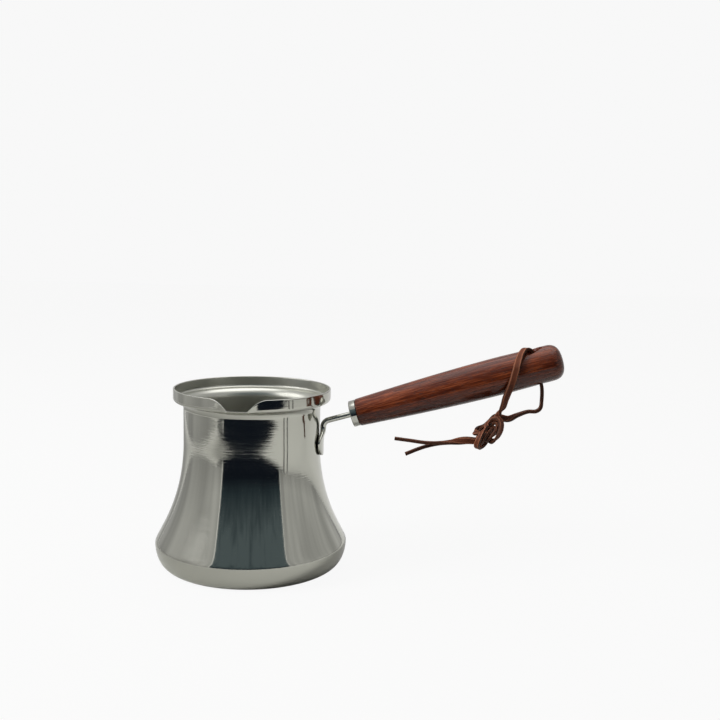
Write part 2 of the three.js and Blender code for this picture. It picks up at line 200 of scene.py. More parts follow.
def add_node(tree, kind, sockets=None, **settings):
    """A node with its settings, and with each socket set to a value or linked from an output."""
    node = tree.nodes.new(kind)
    for name, value in settings.items():
        setattr(node, name, value)
    for name, value in (sockets or {}).items():
        if isinstance(value, bpy.types.NodeSocket):
            tree.links.new(value, node.inputs[name])
        else:
            node.inputs[name].default_value = value
    return node


def new_material(name, *pieces):
    material = bpy.data.materials.new(name)
    material.use_nodes = True
    material.node_tree.nodes.clear()
    for piece in pieces:
        piece.data.materials.append(material)
    return material.node_tree


def lathe_lines(tree, pitch_mm, length_mm):
    """Noise drawn out round the pot's axis, as the lines that a tool leaves on a lathe.

    The radius moves them on a little, so that level rings get lines too.
    """
    place = add_node(tree, "ShaderNodeTexCoord").outputs["Object"]
    parts = add_node(tree, "ShaderNodeSeparateXYZ", {0: place}).outputs
    level = add_node(tree, "ShaderNodeVectorMath", {0: place, 1: (1, 1, 0)}, operation="MULTIPLY")
    radius = add_node(tree, "ShaderNodeVectorMath", {0: level.outputs[0]}, operation="LENGTH")
    slant = add_node(tree, "ShaderNodeMath",
                     {0: radius.outputs["Value"], 1: LINE_SLANT, 2: parts["Z"]},
                     operation="MULTIPLY_ADD")
    line_place = add_node(tree, "ShaderNodeCombineXYZ",
                          {0: parts["X"], 1: parts["Y"], 2: slant.outputs[0]})
    scale = (length_mm * METRE, length_mm * METRE, pitch_mm * METRE)
    space = add_node(tree, "ShaderNodeVectorMath", {0: line_place.outputs[0], 1: scale},
                     operation="DIVIDE")
    noise = {"Vector": space.outputs[0], "Scale": 1, "Detail": 3, "Roughness": 0.6}
    return add_node(tree, "ShaderNodeTexNoise", noise).outputs["Fac"]


# Stainless steel, polished on the lathe: a clear mirror, drawn out up and down by fine lines that
# run round the body. The lines are drawn coarser than they are, so that they show.
STEEL_COLOUR = "#ADADA4"
STEEL_ROUGHNESS = {"To Min": 0.04, "To Max": 0.09}
LINE_PITCH_MM = 0.7
LINE_LENGTH_MM = 24
LINE_RISE_MM = 0.014
LINE_SLANT = 0.4
NOISE_SPAN = {"From Min": 0.3, "From Max": 0.7}
steel = new_material("stainless_steel_lathe_polished", pot)
lines = lathe_lines(steel, LINE_PITCH_MM, LINE_LENGTH_MM)
line_bump = add_node(steel, "ShaderNodeBump",
                     {"Strength": 1, "Distance": LINE_RISE_MM * METRE, "Height": lines})
steel_gloss = add_node(steel, "ShaderNodeMapRange", {"Value": lines, **NOISE_SPAN, **STEEL_ROUGHNESS})
steel_shader = add_node(steel, "ShaderNodeBsdfPrincipled",
                        {"Base Color": linear(STEEL_COLOUR), "Metallic": 1,
                         "Roughness": steel_gloss.outputs["Result"],
                         "Normal": line_bump.outputs["Normal"]})
add_node(steel, "ShaderNodeOutputMaterial", {"Surface": steel_shader.outputs["BSDF"]})

# The rim's edge and the inside are only brushed on the lathe: satin grey, with no clear mirror
# images. The brush's lines are drawn coarser than they are, so that they show.
INSIDE_COLOUR = "#B8B8B0"
INSIDE_ROUGHNESS = 0.3
BRUSH_PITCH_MM = 0.7
BRUSH_LENGTH_MM = 30
BRUSH_RISE_MM = 0.006
satin = new_material("stainless_steel_lathe_brushed", pot)
brush_lines = lathe_lines(satin, BRUSH_PITCH_MM, BRUSH_LENGTH_MM)
brush_bump = add_node(satin, "ShaderNodeBump",
                      {"Strength": 1, "Distance": BRUSH_RISE_MM * METRE, "Height": brush_lines})
satin_shader = add_node(satin, "ShaderNodeBsdfPrincipled",
                        {"Base Color": linear(INSIDE_COLOUR), "Metallic": 1,
                         "Roughness": INSIDE_ROUGHNESS, "Normal": brush_bump.outputs["Normal"]})
add_node(satin, "ShaderNodeOutputMaterial", {"Surface": satin_shader.outputs["BSDF"]})

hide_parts("pot_body")
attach(pot, "pot")

# Handle bracket
# A steel rod, hammered flat at its lower end to a leaf that is curled to the neck and spot
# welded there. Above the leaf it bends outwards and runs on into the wood as a tang.
ROD_DIAMETER = 3.2
ROD_BEND_RADIUS = 4
ROD_STANDOFF = 0.4
LEAF_WIDTH = 15.2
LEAF_THICKNESS = 1.9
LEAF_BOTTOM_HEIGHT = 62
WELD_MARK_RADIUS = 1.4
WELD_MARK_DEPTH = 0.3
TANG_LENGTH = 48
HANDLE_TILT = radians(16.5)
HANDLE_START_X = 58.6
HANDLE_START_Z = 86.5
SEAT = 0.3
LEAF_SQUARENESS = 0.5
LEAF_TIP = 0.05
BRACKET_SIDES = 56
BRACKET_STEP = 0.25
RISE_STEPS = 60
BEND_STEPS = 24

leaf_x = NECK_RADIUS + SEAT + LEAF_THICKNESS / 2
bend_x = NECK_RADIUS + ROD_STANDOFF + ROD_DIAMETER / 2
bend_turn = QUARTER - HANDLE_TILT
corner_z = HANDLE_START_Z + (bend_x - HANDLE_START_X) * tan(HANDLE_TILT)
bend_start_z = corner_z - ROD_BEND_RADIUS * tan(bend_turn / 2)
leaf_round = LEAF_WIDTH / 2
leaf_middle = LEAF_BOTTOM_HEIGHT + leaf_round


def bracket_line():
    """Points about BRACKET_STEP apart: up the neck, round the bend and along the handle's axis."""
    between = (leaf_middle + bend_start_z) / 2
    tang_end = (HANDLE_START_X + TANG_LENGTH * cos(HANDLE_TILT),
                HANDLE_START_Z + TANG_LENGTH * sin(HANDLE_TILT))
    line = [(leaf_x, LEAF_BOTTOM_HEIGHT)]
    line += bezier((leaf_x, leaf_middle), (leaf_x, between), (bend_x, between),
                   (bend_x, bend_start_z), RISE_STEPS)
    line += arc(bend_x + ROD_BEND_RADIUS, bend_start_z, ROD_BEND_RADIUS, ROD_BEND_RADIUS,
                pi, pi - bend_turn, BEND_STEPS)[1:]
    points = [Vector(line[0])]
    for start, end in zip(line, line[1:] + [tang_end]):
        stops = max(round(hypot(end[0] - start[0], end[1] - start[1]) / BRACKET_STEP), 1)
        points += [Vector(start).lerp(Vector(end), i / stops) for i in range(1, stops + 1)]
    return points


def bracket_roundness(along):
    """0 on the flat leaf and 1 on the round rod, by the length along the bracket's line."""
    return smoothstep(along, leaf_round, bend_start_z - LEAF_BOTTOM_HEIGHT)


def bracket_width(along):
    if along < leaf_round:
        return 2 * sqrt(leaf_round ** 2 - (leaf_round - along) ** 2)
    return lerp(LEAF_WIDTH, ROD_DIAMETER, bracket_roundness(along))


def bracket_ring(centre, tangent, along):
    """One outline of the bracket, curled to the neck where it is leaf, with the weld's mark in it."""
    roundness = bracket_roundness(along)
    half_width = bracket_width(along) / 2
    half_thickness = lerp(LEAF_THICKNESS, ROD_DIAMETER, roundness) / 2
    squareness = lerp(LEAF_SQUARENESS, 1, roundness)
    ring = []
    for i in range(BRACKET_SIDES):
        angle = 2 * pi * (i + 0.5) / BRACKET_SIDES
        wide, thick = cos(angle), sin(angle)
        across = copysign(half_width * abs(wide) ** squareness, -wide)
        outwards = copysign(half_thickness * abs(thick) ** squareness, thick)
        curl = (1 - roundness) * (centre.x - sqrt(centre.x ** 2 - across ** 2))
        from_mark = hypot(across, along - leaf_round) / WELD_MARK_RADIUS
        if outwards > 0 and from_mark < 1:
            outwards -= WELD_MARK_DEPTH * (1 - from_mark ** 2)
        ring.append((centre.x + outwards * tangent.y - curl, across, centre.y - outwards * tangent.x))
    return ring


def bracket_rings():
    points = bracket_line()
    rings, along = [], 0
    for i, point in enumerate(points):
        before, after = points[max(i - 1, 0)], points[min(i + 1, len(points) - 1)]
        along += (point - before).length
        if along > LEAF_TIP:
            rings.append(bracket_ring(point, (after - before).normalized(), along))
    return rings


bracket = skin("bent_bracket", bracket_rings())

# Stainless rod, hammered and tumbled smooth: the same mirror as the body, a little softer,
# with shallow waves left by the hammer.
ROD_COLOUR = "#B2B2AA"
ROD_ROUGHNESS = {"To Min": 0.07, "To Max": 0.14}
HAMMER_PITCH_MM = 3.5
HAMMER_DEPTH_MM = 0.014
rod_steel = new_material("stainless_steel_tumbled", bracket)
place = add_node(rod_steel, "ShaderNodeTexCoord").outputs["Object"]
waves = add_node(rod_steel, "ShaderNodeTexNoise",
                 {"Vector": place, "Scale": PER_METRE / HAMMER_PITCH_MM, "Detail": 2}).outputs["Fac"]
wave_bump = add_node(rod_steel, "ShaderNodeBump",
                     {"Strength": 1, "Distance": HAMMER_DEPTH_MM * METRE, "Height": waves})
rod_gloss = add_node(rod_steel, "ShaderNodeMapRange", {"Value": waves, **NOISE_SPAN, **ROD_ROUGHNESS})
rod_shader = add_node(rod_steel, "ShaderNodeBsdfPrincipled",
                      {"Base Color": linear(ROD_COLOUR), "Metallic": 1,
                       "Roughness": rod_gloss.outputs["Result"],
                       "Normal": wave_bump.outputs["Normal"]})
add_node(rod_steel, "ShaderNodeOutputMaterial", {"Surface": rod_shader.outputs["BSDF"]})

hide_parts("handle_bracket")
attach(bracket, "pot")

# Ferrule
# A short steel cup, turned and polished, pushed over a tenon on the wood so that the end
# can't split. The rod goes through a hole in its front.
FERRULE_RADIUS = 7.25
FERRULE_LENGTH = 3.8
FERRULE_WALL = 0.9
FERRULE_EDGE = 0.45
FERRULE_EDGE_STEPS = 8
FERRULE_CREASE = radians(40)
BURR = 0.1
TURNED_SIDES = 96

rod_hole = ROD_DIAMETER / 2 + SEAT
handle_start = Vector((HANDLE_START_X, 0, HANDLE_START_Z))
handle_place = Matrix.Translation(handle_start) @ Matrix.Rotation(-HANDLE_TILT, 4, "Y")
handle_axes = {"Location": handle_start * METRE, "Rotation": (0, -HANDLE_TILT, 0)}


def turned(name, outline, hollow=False):
    """An outline of (radius, along) points turned about the handle's own axis."""
    angles = [2 * pi * j / TURNED_SIDES for j in range(TURNED_SIDES)]
    rings = []
    for radius, along in outline:
        rings.append([handle_place @ Vector((along, radius * cos(a), radius * sin(a))) for a in angles])
    return skin(name, rings, hollow)


ferrule = turned("ferrule_cup", [
    (rod_hole, FERRULE_WALL - FERRULE_LENGTH),
    (rod_hole, BURR - FERRULE_LENGTH),
    (rod_hole + BURR, -FERRULE_LENGTH),
    *arc(FERRULE_RADIUS - FERRULE_EDGE, FERRULE_EDGE - FERRULE_LENGTH, FERRULE_EDGE, FERRULE_EDGE,
         -QUARTER, 0, FERRULE_EDGE_STEPS),
    (FERRULE_RADIUS, -SEAT - BURR),
    (FERRULE_RADIUS - BURR, -SEAT),
    (FERRULE_RADIUS - FERRULE_WALL, -SEAT),
    (FERRULE_RADIUS - FERRULE_WALL, FERRULE_WALL - FERRULE_LENGTH),
    (rod_hole + BURR, FERRULE_WALL - FERRULE_LENGTH),
], hollow=True)
ferrule.data.set_sharp_from_angle(angle=FERRULE_CREASE)

# Stainless bar, turned and polished: a clear mirror with faint tool lines round it, which are drawn
# coarser than they are, so that they show.
CUP_ROUGHNESS = {"To Min": 0.1, "To Max": 0.18}
TOOL_LINE_MM = 0.45
TOOL_LINE_LENGTH_MM = 30
TOOL_LINE_DEPTH_MM = 0.0012
cup_steel = new_material("stainless_steel_turned", ferrule)
place = add_node(cup_steel, "ShaderNodeTexCoord").outputs["Object"]
cup_scale = Vector((TOOL_LINE_MM, TOOL_LINE_LENGTH_MM, TOOL_LINE_LENGTH_MM)) * METRE
cup_space = add_node(cup_steel, "ShaderNodeMapping",
                     {"Vector": place, **handle_axes, "Scale": cup_scale}, vector_type="TEXTURE")
tool_lines = add_node(cup_steel, "ShaderNodeTexNoise",
                      {"Vector": cup_space.outputs[0], "Scale": 1, "Detail": 2}).outputs["Fac"]
tool_bump = add_node(cup_steel, "ShaderNodeBump",
                     {"Strength": 1, "Distance": TOOL_LINE_DEPTH_MM * METRE, "Height": tool_lines})
cup_gloss = add_node(cup_steel, "ShaderNodeMapRange",
                     {"Value": tool_lines, **NOISE_SPAN, **CUP_ROUGHNESS})
cup_shader = add_node(cup_steel, "ShaderNodeBsdfPrincipled",
                      {"Base Color": linear(ROD_COLOUR), "Metallic": 1,
                       "Roughness": cup_gloss.outputs["Result"],
                       "Normal": tool_bump.outputs["Normal"]})
add_node(cup_steel, "ShaderNodeOutputMaterial", {"Surface": cup_shader.outputs["BSDF"]})

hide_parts("ferrule")
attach(ferrule, "pot")

# Wooden handle
# A reddish hardwood turned to a long taper with a rounded end, sanded and oiled. It is bored
# for the tang, which is glued in, and drilled across near its end for the lace, which has worn
# a groove where it bears on the hole's upper mouth.
HANDLE_LENGTH = 114
HANDLE_NECK_RADIUS = 7.5
HANDLE_RISE_RADIUS = 8.6
HANDLE_RISE_AT = 23
HANDLE_GRIP_RADIUS = 10.2
HANDLE_GRIP_AT = 82
HANDLE_GRIP_PULL = 31
HANDLE_END_RADIUS = 9.75
HANDLE_END_DEPTH = 8
HANDLE_END_FULLNESS = 2.8
HANDLE_FRONT_EDGE = 0.4
LACE_HOLE_FROM_END = 14.1
LACE_HOLE_RADIUS = 2.6
LACE_HOLE_FLARE = 2.4
LACE_HOLE_FLARE_DEPTH = 4.4
GROOVE_START = (3.9, -0.3)
GROOVE_END = (-3.2, -5.1)
GROOVE_RADIUS = 2.6
GROOVE_DEPTHS = (3.8, 0.3)
OVERCUT = 1
FRONT_STEPS = 4
SWELL_STEPS = 60
TAPER_STEPS = 16
END_STEPS = 48
HOLE_SIDES = 64
FLARE_STEPS = 16
GROOVE_SIDES = 48
GROOVE_STEPS = 24
CUTTER_TURN = 0.3
HANDLE_CREASE = radians(35)

hole_place = handle_place @ Matrix.Translation((HANDLE_LENGTH - LACE_HOLE_FROM_END, 0, 0))


def handle_outline():
    """(radius, along) points from the bore's end over the tenon, along the grip and round its end."""
    tenon_radius = FERRULE_RADIUS - FERRULE_WALL - SEAT
    tenon_start = FERRULE_WALL + SEAT - FERRULE_LENGTH
    tenon = [(rod_hole, TANG_LENGTH + SEAT), (rod_hole, tenon_start), (tenon_radius, tenon_start),
             (tenon_radius, 0)]
    front = arc(HANDLE_NECK_RADIUS - HANDLE_FRONT_EDGE, HANDLE_FRONT_EDGE, HANDLE_FRONT_EDGE,
                HANDLE_FRONT_EDGE, -QUARTER, 0, FRONT_STEPS)
    swell = bezier((HANDLE_NECK_RADIUS, 0), (HANDLE_RISE_RADIUS, HANDLE_RISE_AT),
                   (HANDLE_GRIP_RADIUS, HANDLE_GRIP_AT - HANDLE_GRIP_PULL),
                   (HANDLE_GRIP_RADIUS, HANDLE_GRIP_AT), SWELL_STEPS)
    end_start = HANDLE_LENGTH - HANDLE_END_DEPTH
    taper = []
    for i in range(1, TAPER_STEPS):
        share = i / TAPER_STEPS
        taper.append((lerp(HANDLE_GRIP_RADIUS, HANDLE_END_RADIUS, share),
                      lerp(HANDLE_GRIP_AT, end_start, share)))
    end = []
    for i in range(END_STEPS):
        angle = QUARTER * i / END_STEPS
        end.append((HANDLE_END_RADIUS * cos(angle) ** (2 / HANDLE_END_FULLNESS),
                    end_start + HANDLE_END_DEPTH * sin(angle) ** (2 / HANDLE_END_FULLNESS)))
    return tenon + front + [point for point in swell if point[1] > HANDLE_FRONT_EDGE] + taper + end


def cutter_angles(sides):
    """Angles round a cutter, turned a little so that none of its corners meets one of the wood's."""
    return [2 * pi * (j + CUTTER_TURN) / sides for j in range(sides)]


def lace_hole_cutter():
    """The cross hole, flared to both of its mouths."""
    reach = HANDLE_GRIP_RADIUS + OVERCUT
    mouth = LACE_HOLE_RADIUS + LACE_HOLE_FLARE
    flare_start = HANDLE_GRIP_RADIUS - LACE_HOLE_FLARE_DEPTH
    flare = arc(mouth, flare_start, LACE_HOLE_FLARE, LACE_HOLE_FLARE_DEPTH, pi, QUARTER, FLARE_STEPS)
    upper = flare + [(mouth, reach)]
    lower = [(radius, -height) for radius, height in reversed(upper)]
    rings = []
    for radius, height in lower + upper:
        rings.append([hole_place @ Vector((radius * cos(a), radius * sin(a), height))
                      for a in cutter_angles(HOLE_SIDES)])
    return skin("lace_hole_cutter", rings)


def lace_groove_cutter():
    """A round channel that the lace wore into the front of the hole's upper mouth."""
    start, end = Vector(GROOVE_START), Vector(GROOVE_END)
    across = (end - start).orthogonal().normalized()
    rings = []
    for i in range(GROOVE_STEPS + 1):
        share = i / GROOVE_STEPS
        x, y = start.lerp(end, share)
        lift = 1 + (GROOVE_RADIUS - lerp(*GROOVE_DEPTHS, share)) / HANDLE_END_RADIUS
        middle = Vector((x, y * lift, sqrt(HANDLE_END_RADIUS ** 2 - y * y) * lift))
        rings.append([hole_place @ (middle + GROOVE_RADIUS * Vector((*(across * cos(a)), sin(a))))
                      for a in cutter_angles(GROOVE_SIDES)])
    return skin("lace_groove_cutter", rings)


handle = turned("turned_handle", handle_outline())
for cutter in (lace_hole_cutter(), lace_groove_cutter()):
    cut = handle.modifiers.new(cutter.name, "BOOLEAN")
    cut.object = cutter
    cut.solver = "EXACT"
    evaluated = handle.evaluated_get(bpy.context.evaluated_depsgraph_get())
    handle.data = bpy.data.meshes.new_from_object(evaluated)
    handle.modifiers.clear()
    bpy.data.objects.remove(cutter)
handle.data.set_sharp_from_angle(angle=HANDLE_CREASE)

# Reddish tropical hardwood, turned, sanded and oiled: dark and light streaks along the grain,
# short open pores, and the soft sheen of oil. The pores are drawn a little wide, so that they show.
WOOD_TONES = ((0.34, "#310E05"), (0.5, "#58220C"), (0.68, "#90461F"))
PORE_COLOUR = "#240A04"
CLOUD_MM = (60, 4.5)
STREAK_MM = (13, 0.55)
PORE_MM = (3.5, 0.28)
PORE_DEPTH_MM = 0.04
PORE_SPAN = {"From Min": 0.6, "From Max": 0.7}
STREAK_SHARE = 0.6
WOOD_ROUGHNESS = {"To Min": 0.2, "To Max": 0.32}
wood = new_material("rosewood_turned_and_oiled", handle)
place = add_node(wood, "ShaderNodeTexCoord").outputs["Object"]
grain = {}
for name, (length, width) in (("clouds", CLOUD_MM), ("streaks", STREAK_MM), ("pores", PORE_MM)):
    space = add_node(wood, "ShaderNodeMapping",
                     {"Vector": place, **handle_axes, "Scale": Vector((length, width, width)) * METRE},
                     vector_type="TEXTURE")
    noise = {"Vector": space.outputs[0], "Scale": 1, "Detail": 3, "Distortion": 0.4}
    grain[name] = add_node(wood, "ShaderNodeTexNoise", noise).outputs["Fac"]
tone = add_node(wood, "ShaderNodeMix",
                {"Factor": STREAK_SHARE, "A": grain["clouds"], "B": grain["streaks"]})
tones = add_node(wood, "ShaderNodeValToRGB", {"Fac": tone.outputs["Result"]})
ramp = tones.color_ramp.elements
ramp.new(WOOD_TONES[1][0])
for element, (stop, colour) in zip(ramp, WOOD_TONES):
    element.position = stop
    element.color = linear(colour)
pores = add_node(wood, "ShaderNodeMapRange", {"Value": grain["pores"], **PORE_SPAN})
wood_colour = add_node(wood, "ShaderNodeMix",
                       {"Factor": pores.outputs["Result"], "A": tones.outputs["Color"],
                        "B": linear(PORE_COLOUR)}, data_type="RGBA")
pore_bump = add_node(wood, "ShaderNodeBump",
                     {"Strength": 1, "Distance": PORE_DEPTH_MM * METRE,
                      "Height": pores.outputs["Result"]}, invert=True)
wood_gloss = add_node(wood, "ShaderNodeMapRange",
                      {"Value": grain["streaks"], **NOISE_SPAN, **WOOD_ROUGHNESS})
wood_shader = add_node(wood, "ShaderNodeBsdfPrincipled",
                       {"Base Color": wood_colour.outputs["Result"],
                        "Roughness": wood_gloss.outputs["Result"], "Specular IOR Level": 0.33,
                        "Normal": pore_bump.outputs["Normal"]})
add_node(wood, "ShaderNodeOutputMaterial", {"Surface": wood_shader.outputs["BSDF"]})

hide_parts("wood_handle")
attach(handle, "pot")

# Leather lace
# One flat lace cut from brown hide, doubled through the handle's cross hole and tied with one
# overhand knot. It is stiff enough that its two tails stand out by themselves.
LACE_WIDTH = 3.8
LACE_THICKNESS = 1.75
LACE_EDGE_ROUND = 0.55
LACE_EDGE_STEPS = 4
LACE_GROOVE = 0.12
LACE_CREASE = radians(50)
KNOT_SQUEEZE = 0.84
KNOT_RADIUS = 10.8
KNOT_LOOSE_RADIUS = 1.5 * KNOT_RADIUS
KNOT_RING_RADIUS = 6.2
KNOT_PLY_PITCH = 2.56
KNOT_CENTRE = Vector((129.3, -9.6, 79.4))
KNOT_SLOPE = radians(44)
KNOT_STOPS = 30
KNOT_TUCK_TURN = 0.7
KNOT_PASSING = LACE_WIDTH * 0.55
KNOT_WAY_IN = (-8, -4)
KNOT_WAY_OUT = (3.5, 6.5)
UPPER_LENGTH = 202
LOWER_LENGTH = 213
LACE_STEPS_PER_SPAN = 8
SAME_PLACE = 1e-4

knot_along = Vector((-cos(KNOT_SLOPE), 0, -sin(KNOT_SLOPE)))
knot_back = Vector((0, 1, 0))
knot_up = knot_back.cross(knot_along)


def knot_vector(back, along, up):
    return knot_back * back + knot_along * along + knot_up * up


def in_knot(back, along, up):
    return KNOT_CENTRE + knot_vector(back, along, up)


def knot_route(winding_radius):
    """The doubled lace winds three times about a ring that it follows twice: an overhand knot."""
    back = KNOT_RING_RADIUS + winding_radius
    outwards = knot_vector(1, 0, 0)
    route = [(in_knot(back, along, KNOT_PASSING), outwards) for along in KNOT_WAY_IN]
    for i in range(KNOT_STOPS + 1):
        turn = 2 * pi * i / KNOT_STOPS
        winding, lap = 3 * turn, 2 * turn
        reach = KNOT_RING_RADIUS + winding_radius * cos(winding)
        entering = 1 - smoothstep(turn, 0, KNOT_TUCK_TURN)
        leaving = 1 - smoothstep(2 * pi - turn, 0, KNOT_TUCK_TURN)
        up = winding_radius * sin(winding) + KNOT_PASSING * (entering - leaving)
        face = knot_vector(cos(winding) * cos(lap), cos(winding) * sin(lap), sin(winding))
        route.append((in_knot(reach * cos(lap), reach * sin(lap), up), face))
    return route + [(in_knot(back, along, -KNOT_PASSING), outwards) for along in KNOT_WAY_OUT]


def by_hole(point, face):
    """A route's point and the way that the lace's face looks there, both from the hole's middle."""
    return hole_place @ Vector(point), hole_place.to_3x3() @ Vector(face)


def on_wood(point):
    return by_hole(point, (0, point[1], point[2]))


def free(point, face):
    return Vector(point), Vector(face)


upper_route = [
    by_hole((0, 0, SEAT / 2), (1, 0, 0)),
    by_hole((-0.3, -0.1, 4.2), (1, 0.1, 0)),
    by_hole((-0.8, -0.4, 7.2), (1, 0.4, 0.25)),
    by_hole((-1.7, -1.1, 9.7), (0.7, 0.45, 0.5)),
    by_hole((-4, -3.4, 10.95), (-0.15, -0.3, 0.95)),
    by_hole((-6.5, -6.5, 9.7), (-0.3, -0.55, 0.8)),
    by_hole((-8.8, -9, 7.2), (-0.2, -0.8, 0.6)),
    by_hole((-11, -10.8, 3.9), (-0.1, -0.95, 0.3)),
    on_wood((-13.3, -11.4, 0)),
    on_wood((-15.6, -11.2, -3.8)),
    on_wood((-18.2, -10, -7.6)),
    by_hole((-20.8, -8.4, -11.6), (0.4, -1, -0.4)),
    by_hole((-23.2, -6.4, -16), (0.8, -1, 0)),
    *knot_route(KNOT_PLY_PITCH / 2),
    free((117.4, -2.8, 73.3), (0, 1, -0.3)),
    free((109.7, -4.2, 72.6), (0, 0.2, -1)),
    free((103.8, -4.4, 72.1), (0, -0.1, -1)),
    free((96.2, -4.6, 71.9), (0, -0.1, -1)),
    free((87.5, -4.6, 72.8), (0, -0.1, -1)),
    free((79.1, -4.8, 73.7), (0, -0.1, -1)),
]
lower_route = [
    by_hole((0, 0, -SEAT / 2), (1, 0, 0)),
    by_hole((0, 0, -6), (1, 0, 0)),
    by_hole((-0.2, 0, -12), (1, 0, 0)),
    free((157.8, 0, 96.4), (1, 0, 0)),
    free((157.3, 0, 92.2), (1, 0, -0.4)),
    free((155.2, 0, 90.4), (0.5, 0, -1)),
    free((150.6, 0, 90), (0, 0, -1)),
    free((145, 0.2, 87.8), (0.3, 0.2, -1)),
    free((140.2, 0.2, 85.6), (0.4, 0.9, -1)),
    *knot_route(KNOT_PLY_PITCH * 1.5),
    free((117.4, 0.2, 73.1), (0, 1, -0.3)),
    free((109.9, 0.2, 71.7), (0, 0.2, -1)),
    free((103.9, 0, 70.7), (0, -0.1, -1)),
    free((96.3, -0.2, 68.9), (0, -0.1, -1)),
    free((92, -0.6, 67.4), (0, -0.1, -1)),
    free((85.1, -1.5, 64.5), (0, -0.1, -1)),
]


def through(points, share):
    """The point and the direction of a smooth line through points, at a share from 0 to 1."""
    spans = len(points) - 1
    i = min(floor(share * spans), spans - 1)
    w = share * spans - i
    b, c = points[i], points[i + 1]
    a = points[i - 1] if i > 0 else b * 2 - c
    d = points[i + 2] if i + 2 <= spans else c * 2 - b
    ab, bc, cd = (sqrt((q - p).length) for p, q in ((a, b), (b, c), (c, d)))
    bc = bc if bc > SAME_PLACE else 1
    ab = ab if ab > SAME_PLACE else bc
    cd = cd if cd > SAME_PLACE else bc
    leave = ((b - a) / ab - (c - a) / (ab + bc) + (c - b) / bc) * bc
    reach = ((c - b) / bc - (d - b) / (bc + cd) + (d - c) / cd) * bc
    square = (c - b) * 3 - leave * 2 - reach
    cube = (b - c) * 2 + leave + reach
    point = b + leave * w + square * w * w + cube * w ** 3
    return point, leave + square * 2 * w + cube * 3 * w * w


def lace_section():
    """Half the lace's outline, from one edge over the face to the other, as (across, out) points."""
    half_thickness = LACE_THICKNESS / 2
    half_face = LACE_WIDTH / 2 - LACE_EDGE_ROUND
    edge_out = half_thickness - LACE_EDGE_ROUND
    near = arc(half_face, edge_out, LACE_EDGE_ROUND, LACE_EDGE_ROUND, 0, QUARTER, LACE_EDGE_STEPS)
    far = arc(-half_face, edge_out, LACE_EDGE_ROUND, LACE_EDGE_ROUND, QUARTER, pi, LACE_EDGE_STEPS)
    face = [(half_face * share, half_thickness - LACE_GROOVE * (1 - abs(share)))
            for share in (0.5, 0, -0.5)]
    return near + face + far


def lace_strap(name, route):
    """A flat strap along a route of points and faces, with its width and length in a UV map."""
    points, faces = [point for point, _ in route], [face for _, face in route]
    half = lace_section()
    section = half + [(-across, -out) for across, out in half]
    steps = (len(route) - 1) * LACE_STEPS_PER_SPAN
    rings, path, lengths = [], [], []
    for i in range(steps + 1):
        centre, along = through(points, i / steps)
        side = along.normalized().cross(through(faces, i / steps)[0]).normalized()
        face = side.cross(along.normalized())
        loose = smoothstep((centre - KNOT_CENTRE).length, KNOT_RADIUS, KNOT_LOOSE_RADIUS)
        drawn = lerp(KNOT_SQUEEZE, 1, loose)
        rings.append([centre - side * across * drawn + face * out * drawn for across, out in section])
        lengths.append(lengths[-1] + (centre - path[-1]).length if path else 0)
        path.append(centre)
    strap = skin(name, rings)
    layout = strap.data.uv_layers.new(name="lace_mm")
    for loop in strap.data.loops:
        ring, corner = divmod(loop.vertex_index, len(section))
        layout.data[loop.index].uv = (section[corner][0], lengths[ring])
    strap.data.set_sharp_from_angle(angle=LACE_CREASE)
    return strap, [point * METRE for point in path]


upper_lace, upper_path = lace_strap("lace_upper_strap", upper_route)
lower_lace, lower_path = lace_strap("lace_lower_strap", lower_route)

# Vegetable-tanned hide, cut and waxed: a fine pebbled face, a paler painted highlight along each
# border where the face rounds over, and dark waxed cut edges.
HIDE_COLOUR = "#70381F"
HIDE_DARK = "#3E1D0D"
HIDE_PAINTED_SHEEN = "#8E583E"
HIDE_CUT = "#402110"
PEBBLE_MM = 0.45
PEBBLE_DEPTH_MM = 0.06
PATCH_MM = 5
HIDE_ROUGHNESS = {"To Min": 0.5, "To Max": 0.7}
SHEEN_BORDER = (0.24 * LACE_WIDTH, 0.36 * LACE_WIDTH)
CUT_BORDER = (0.42 * LACE_WIDTH, 0.48 * LACE_WIDTH)
leather = new_material("hide_cut_and_waxed", upper_lace, lower_lace)
place = add_node(leather, "ShaderNodeTexCoord").outputs["Object"]
lace_place = add_node(leather, "ShaderNodeUVMap", uv_map="lace_mm").outputs["UV"]
across_lace = add_node(leather, "ShaderNodeSeparateXYZ", {0: lace_place}).outputs["X"]
from_middle = add_node(leather, "ShaderNodeMath", {0: across_lace}, operation="ABSOLUTE").outputs[0]
pebbles = add_node(leather, "ShaderNodeTexVoronoi", {"Vector": place, "Scale": PER_METRE / PEBBLE_MM})
patches = add_node(leather, "ShaderNodeTexNoise",
                   {"Vector": place, "Scale": PER_METRE / PATCH_MM, "Detail": 3}).outputs["Fac"]
hide_tone = add_node(leather, "ShaderNodeMix",
                     {"Factor": patches, "A": linear(HIDE_DARK), "B": linear(HIDE_COLOUR)},
                     data_type="RGBA")
hide_colour = hide_tone.outputs["Result"]
# Painted highlight: a paler band along each border of the face stands in for the sheen on its rounded
# edge; the dark cut edges are the hide's own colour.
for colour, (start, end) in ((HIDE_PAINTED_SHEEN, SHEEN_BORDER), (HIDE_CUT, CUT_BORDER)):
    share = add_node(leather, "ShaderNodeMapRange",
                     {"Value": from_middle, "From Min": start, "From Max": end})
    hide_colour = add_node(leather, "ShaderNodeMix",
                           {"Factor": share.outputs["Result"], "A": hide_colour, "B": linear(colour)},
                           data_type="RGBA").outputs["Result"]
pebble_bump = add_node(leather, "ShaderNodeBump",
                       {"Strength": 0.7, "Distance": PEBBLE_DEPTH_MM * METRE,
                        "Height": pebbles.outputs["Distance"]})
hide_gloss = add_node(leather, "ShaderNodeMapRange", {"Value": patches, **HIDE_ROUGHNESS})
